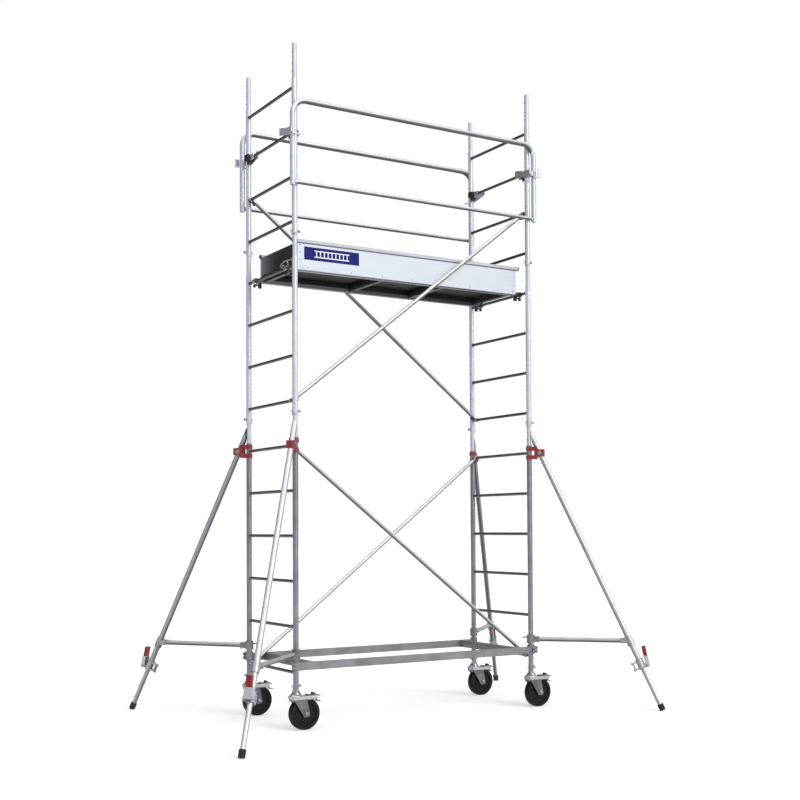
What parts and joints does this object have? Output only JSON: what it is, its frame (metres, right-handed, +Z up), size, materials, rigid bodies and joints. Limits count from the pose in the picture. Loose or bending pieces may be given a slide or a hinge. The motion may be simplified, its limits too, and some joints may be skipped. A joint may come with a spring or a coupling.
{
  "type": "mobile tower scaffold",
  "caption": "Narrow rolling tower scaffold with ladder end frames, diagonal braces, a railed deck with a trapdoor, and splayed outriggers with telescopic feet.",
  "frame": {"origin": "on the ground, in the middle of the four posts", "axes": "+Z up, +X along the bay towards the right end frame, -Y towards the front side"},
  "size_m": [3.1399, 2.1191, 4.248],
  "materials": {
    "galvanised_tube": "galvanised, satin",
    "zinc_plated": "zinc plated, satin",
    "base_steel": "matte grey",
    "black_plastic": "moulded, matte",
    "platform_steel": "matte",
    "deck_plywood": "phenolic film faced",
    "aluminium_board": "extruded, satin",
    "end_board": "satin",
    "wheel_black": "moulded, matte",
    "red_paint": "semi-gloss",
    "red_plastic": "moulded grip",
    "black_rubber": "matte"
  },
  "bodies": {
    "tower": {"end_frame_left_lower": "galvanised_tube", "end_frame_left_middle": "galvanised_tube", "end_frame_left_upper": "galvanised_tube", "end_frame_right_lower": "galvanised_tube", "end_frame_right_middle": "galvanised_tube", "end_frame_right_upper": "galvanised_tube", "diagonal_braces": "galvanised_tube", "guardrail_front": "galvanised_tube", "guardrail_back": "galvanised_tube", "frame_spigots": "zinc_plated", "locking_pins": "zinc_plated", "caster_stems": "zinc_plated", "trapdoor_hinges": "zinc_plated", "base_frame": "base_steel", "brace_latches": "black_plastic", "guardrail_latches": "black_plastic", "platform_latches": "black_plastic", "toe_board_caps": "black_plastic", "platform_frame": "platform_steel", "deck_panel": "deck_plywood", "toe_board_front": "aluminium_board", "toe_board_back": "aluminium_board", "end_toe_boards": "end_board"},
    "trapdoor": {"trapdoor": "deck_plywood"},
    "caster_front_left": {"caster_fork_front_left": "zinc_plated"},
    "wheel_front_left": {"caster_wheel_front_left": "wheel_black"},
    "pedal_front_left": {"brake_pedal_front_left": "zinc_plated"},
    "outrigger_front_left": {"outrigger_tube_front_left": "galvanised_tube", "outrigger_clamp_front_left": "red_paint", "outrigger_stay_front_left": "galvanised_tube"},
    "leg_front_left": {"outrigger_leg_front_left": "galvanised_tube", "outrigger_foot_front_left": "black_rubber"},
    "lever_front_left": {"outrigger_lever_front_left": "red_plastic"},
    "caster_front_right": {"caster_fork_front_right": "zinc_plated"},
    "wheel_front_right": {"caster_wheel_front_right": "wheel_black"},
    "pedal_front_right": {"brake_pedal_front_right": "zinc_plated"},
    "outrigger_front_right": {"outrigger_tube_front_right": "galvanised_tube", "outrigger_clamp_front_right": "red_paint", "outrigger_stay_front_right": "galvanised_tube"},
    "leg_front_right": {"outrigger_leg_front_right": "galvanised_tube", "outrigger_foot_front_right": "black_rubber"},
    "lever_front_right": {"outrigger_lever_front_right": "red_plastic"},
    "caster_back_left": {"caster_fork_back_left": "zinc_plated"},
    "wheel_back_left": {"caster_wheel_back_left": "wheel_black"},
    "pedal_back_left": {"brake_pedal_back_left": "zinc_plated"},
    "outrigger_back_left": {"outrigger_tube_back_left": "galvanised_tube", "outrigger_clamp_back_left": "red_paint", "outrigger_stay_back_left": "galvanised_tube"},
    "leg_back_left": {"outrigger_leg_back_left": "galvanised_tube", "outrigger_foot_back_left": "black_rubber"},
    "lever_back_left": {"outrigger_lever_back_left": "red_plastic"},
    "caster_back_right": {"caster_fork_back_right": "zinc_plated"},
    "wheel_back_right": {"caster_wheel_back_right": "wheel_black"},
    "pedal_back_right": {"brake_pedal_back_right": "zinc_plated"},
    "outrigger_back_right": {"outrigger_tube_back_right": "galvanised_tube", "outrigger_clamp_back_right": "red_paint", "outrigger_stay_back_right": "galvanised_tube"},
    "leg_back_right": {"outrigger_leg_back_right": "galvanised_tube", "outrigger_foot_back_right": "black_rubber"},
    "lever_back_right": {"outrigger_lever_back_right": "red_plastic"}
  },
  "joints": [
    {"name": "caster_swivel_front_left", "type": "hinge", "parent": "tower", "child": "caster_front_left", "pos_m": [-0.9, -0.344, 0.22], "axis": [0, 0, 1], "continuous": true},
    {"name": "wheel_spin_front_left", "type": "hinge", "parent": "caster_front_left", "child": "wheel_front_left", "pos_m": [-0.845, -0.344, 0.1], "axis": [0, 1, 0], "continuous": true},
    {"name": "brake_pedal_tilt_front_left", "type": "hinge", "parent": "caster_front_left", "child": "pedal_front_left", "pos_m": [-0.823, -0.344, 0.212], "axis": [0, -1, 0], "range_deg": [0, 14]},
    {"name": "outrigger_swing_front_left", "type": "hinge", "parent": "tower", "child": "outrigger_front_left", "pos_m": [-0.9, -0.344, 0.465], "axis": [0, 0, 1], "range_deg": [-40, 40]},
    {"name": "leg_slide_front_left", "type": "slide", "parent": "outrigger_front_left", "child": "leg_front_left", "axis": [-0.3121, -0.3176, -0.8954], "range_m": [-0.18, 0]},
    {"name": "lever_turn_front_left", "type": "hinge", "parent": "outrigger_front_left", "child": "lever_front_left", "pos_m": [-1.48564, -0.93995, 0.30543], "axis": [0.7133, -0.7009, 0], "range_deg": [0, 90]},
    {"name": "caster_swivel_front_right", "type": "hinge", "parent": "tower", "child": "caster_front_right", "pos_m": [0.9, -0.344, 0.22], "axis": [0, 0, 1], "continuous": true},
    {"name": "wheel_spin_front_right", "type": "hinge", "parent": "caster_front_right", "child": "wheel_front_right", "pos_m": [0.955, -0.344, 0.1], "axis": [0, 1, 0], "continuous": true},
    {"name": "brake_pedal_tilt_front_right", "type": "hinge", "parent": "caster_front_right", "child": "pedal_front_right", "pos_m": [0.977, -0.344, 0.212], "axis": [0, -1, 0], "range_deg": [0, 14]},
    {"name": "outrigger_swing_front_right", "type": "hinge", "parent": "tower", "child": "outrigger_front_right", "pos_m": [0.9, -0.344, 0.465], "axis": [0, 0, 1], "range_deg": [-40, 40]},
    {"name": "leg_slide_front_right", "type": "slide", "parent": "outrigger_front_right", "child": "leg_front_right", "axis": [0.2945, -0.3039, -0.9061], "range_m": [-0.18, 0]},
    {"name": "lever_turn_front_right", "type": "hinge", "parent": "outrigger_front_right", "child": "lever_front_right", "pos_m": [1.44825, -0.90975, 0.30433], "axis": [0.7181, 0.6959, 0], "range_deg": [0, 90]},
    {"name": "caster_swivel_back_left", "type": "hinge", "parent": "tower", "child": "caster_back_left", "pos_m": [-0.9, 0.344, 0.22], "axis": [0, 0, 1], "continuous": true},
    {"name": "wheel_spin_back_left", "type": "hinge", "parent": "caster_back_left", "child": "wheel_back_left", "pos_m": [-0.845, 0.344, 0.1], "axis": [0, 1, 0], "continuous": true},
    {"name": "brake_pedal_tilt_back_left", "type": "hinge", "parent": "caster_back_left", "child": "pedal_back_left", "pos_m": [-0.823, 0.344, 0.212], "axis": [0, -1, 0], "range_deg": [0, 14]},
    {"name": "outrigger_swing_back_left", "type": "hinge", "parent": "tower", "child": "outrigger_back_left", "pos_m": [-0.9, 0.344, 0.465], "axis": [0, 0, 1], "range_deg": [-40, 40]},
    {"name": "leg_slide_back_left", "type": "slide", "parent": "outrigger_back_left", "child": "leg_back_left", "axis": [-0.2633, 0.3432, -0.9016], "range_m": [-0.18, 0]},
    {"name": "lever_turn_back_left", "type": "hinge", "parent": "outrigger_back_left", "child": "lever_back_left", "pos_m": [-1.39182, 0.98496, 0.3048], "axis": [-0.7934, -0.6088, 0], "range_deg": [0, 90]},
    {"name": "caster_swivel_back_right", "type": "hinge", "parent": "tower", "child": "caster_back_right", "pos_m": [0.9, 0.344, 0.22], "axis": [0, 0, 1], "continuous": true},
    {"name": "wheel_spin_back_right", "type": "hinge", "parent": "caster_back_right", "child": "wheel_back_right", "pos_m": [0.955, 0.344, 0.1], "axis": [0, 1, 0], "continuous": true},
    {"name": "brake_pedal_tilt_back_right", "type": "hinge", "parent": "caster_back_right", "child": "pedal_back_right", "pos_m": [0.977, 0.344, 0.212], "axis": [0, -1, 0], "range_deg": [0, 14]},
    {"name": "outrigger_swing_back_right", "type": "hinge", "parent": "tower", "child": "outrigger_back_right", "pos_m": [0.9, 0.344, 0.465], "axis": [0, 0, 1], "range_deg": [-40, 40]},
    {"name": "leg_slide_back_right", "type": "slide", "parent": "outrigger_back_right", "child": "leg_back_right", "axis": [0.3063, 0.2948, -0.9051], "range_m": [-0.18, 0]},
    {"name": "lever_turn_back_right", "type": "hinge", "parent": "outrigger_back_right", "child": "lever_back_right", "pos_m": [1.47067, 0.89317, 0.30443], "axis": [-0.6934, 0.7206, 0], "range_deg": [0, 90]},
    {"name": "trapdoor_hinge", "type": "hinge", "parent": "tower", "child": "trapdoor", "pos_m": [-0.532, 0.25, 2.918], "axis": [-1, 0, 0], "range_deg": [0, 85]}
  ]
}
